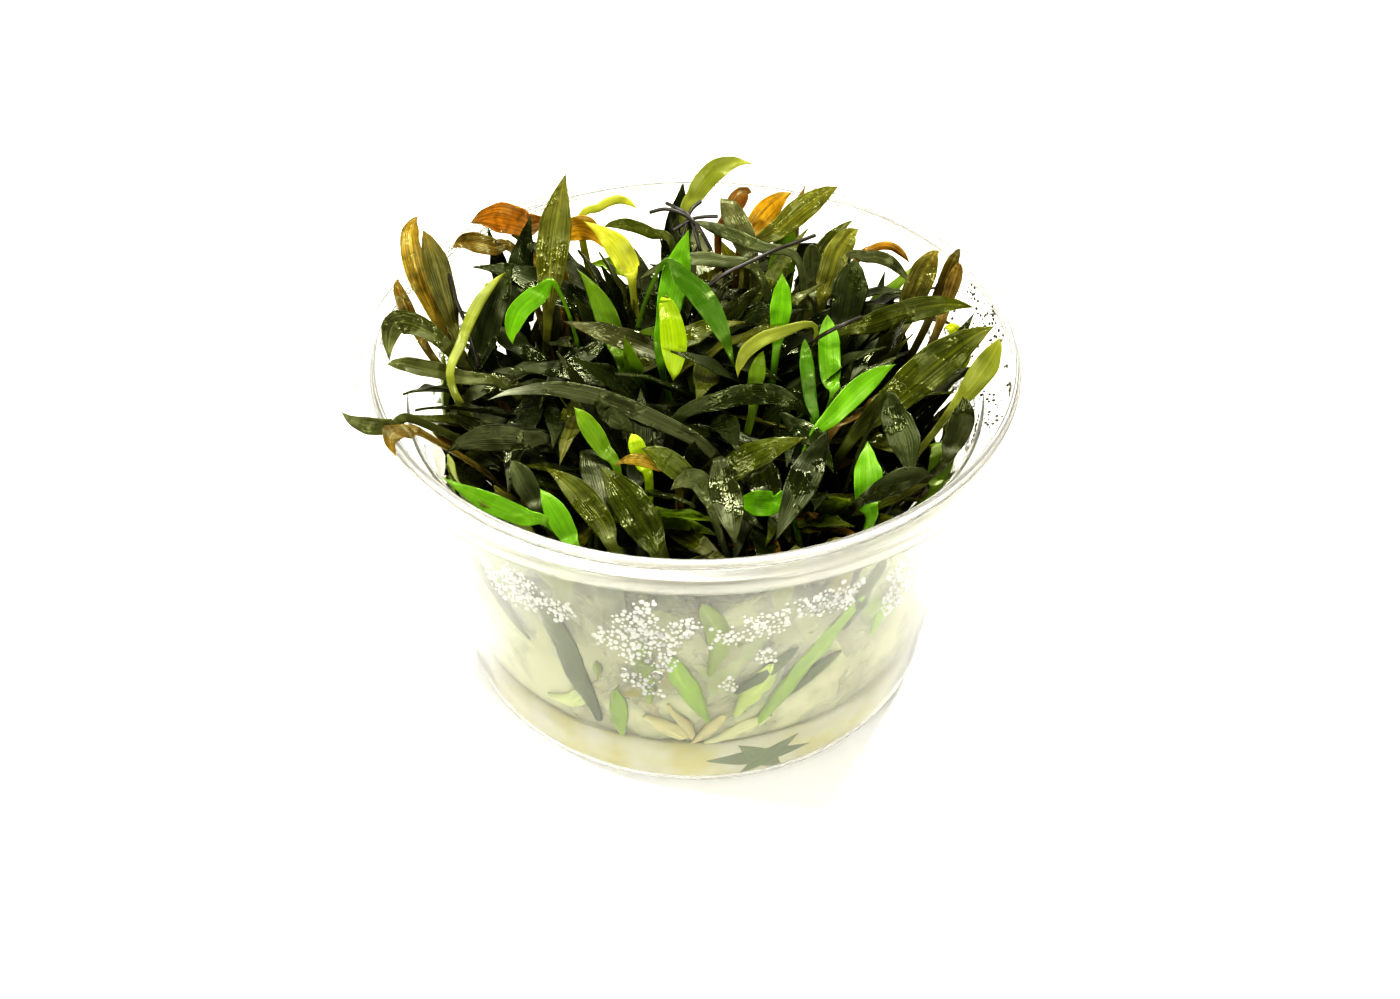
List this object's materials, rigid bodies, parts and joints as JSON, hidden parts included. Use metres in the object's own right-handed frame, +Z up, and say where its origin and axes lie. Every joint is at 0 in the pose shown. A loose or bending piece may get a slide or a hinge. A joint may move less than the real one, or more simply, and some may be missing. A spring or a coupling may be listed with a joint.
{
  "type": "tissue culture aquarium plant in an open clear cup",
  "caption": "Open round clear plastic cup with a rolled rim, a floor of set agar gel and a dense thicket of small narrow-leaved aquarium plants that rise past the rim.",
  "frame": {"origin": "centre of the cup's flat underside, on the surface that it stands on", "axes": "+Z up along the cup's axis, -Y towards the viewer of the picture, +X to the viewer's right"},
  "size_m": [0.1, 0.1, 0.071],
  "materials": {
    "cup_plastic": "clear moulded plastic, see-through, smooth gloss",
    "gel": "pale yellow-cream set agar gel, cloudy and see-through",
    "plant_mixed": "mixed dark olive and green leaves, wet gloss",
    "leaf_olive": "olive-green leaf, wet gloss",
    "leaf_dark": "near-black olive leaf, wet gloss",
    "leaf_green": "bright green leaf, wet gloss",
    "leaf_lime": "lime-green leaf, wet gloss",
    "leaf_yellow": "yellow-green leaf, wet gloss",
    "leaf_amber": "amber to orange-brown leaf, wet gloss",
    "leaf_brown": "brown to ochre leaf, wet gloss",
    "leaf_grey": "grey-green leaf with a wet glare",
    "root": "cream roots in the gel",
    "water": "clear droplets of condensation on the inside of the wall",
    "dead_strand": "black dead stalks and shrivelled leaf bits"
  },
  "bodies": {
    "root": {"cup": "cup_plastic", "agar_gel": "gel", "plant_1": "plant_mixed", "plant_2": "plant_mixed", "plant_3": "plant_mixed", "plant_4": "plant_mixed", "plant_5": "plant_mixed", "plant_6": "plant_mixed", "plant_7": "plant_mixed", "plant_8": "plant_mixed", "plant_9": "plant_mixed", "plant_10": "plant_mixed", "plant_11": "plant_mixed", "plant_12": "plant_mixed", "leaf_tall_olive": "leaf_olive", "leaf_orange_arched": "leaf_amber", "leaf_orange_low": "leaf_amber", "leaf_left_torn": "leaf_brown", "leaf_left_brown": "leaf_brown", "leaf_left_curled": "leaf_dark", "leaf_left_grey": "leaf_grey", "leaf_left_strap": "leaf_lime", "leaf_left_bright": "leaf_green", "leaf_back_dark": "leaf_dark", "leaf_left_dark": "leaf_dark", "leaf_back_amber": "leaf_amber", "leaf_back_pale_arch": "leaf_lime", "leaf_back_yellow": "leaf_yellow", "leaf_middle_upright": "leaf_green", "leaf_middle_lime": "leaf_lime", "leaf_middle_bent": "leaf_green", "leaf_middle_grey_arch": "leaf_grey", "leaf_back_yellow_top": "leaf_yellow", "leaf_back_amber_right": "leaf_amber", "leaf_back_olive": "leaf_olive", "leaf_back_grey": "leaf_grey", "leaf_right_blunt": "leaf_olive", "leaf_right_dark": "leaf_dark", "leaf_right_tip": "leaf_olive", "leaf_right_level": "leaf_dark", "leaf_right_big": "leaf_olive", "leaf_right_edge": "leaf_green", "leaf_right_diagonal": "leaf_green", "leaf_right_spoon": "leaf_green", "leaf_middle_strap": "leaf_green", "leaf_right_upright": "leaf_green", "leaf_middle_olive_arch": "leaf_yellow", "leaf_front_long": "leaf_grey", "leaf_front_bridge": "leaf_dark", "leaf_left_overhanging": "leaf_brown", "leaf_left_under": "leaf_brown", "leaf_front_left_rim": "leaf_green", "leaf_front_left_green": "leaf_green", "leaf_front_left_olive": "leaf_olive", "leaf_front_ochre": "leaf_amber", "leaf_front_bright": "leaf_green", "leaf_front_curled": "leaf_grey", "leaf_front_right_upright": "leaf_green", "leaf_front_right_dark": "leaf_dark", "leaf_wall_dark": "leaf_dark"}
  },
  "joints": []
}
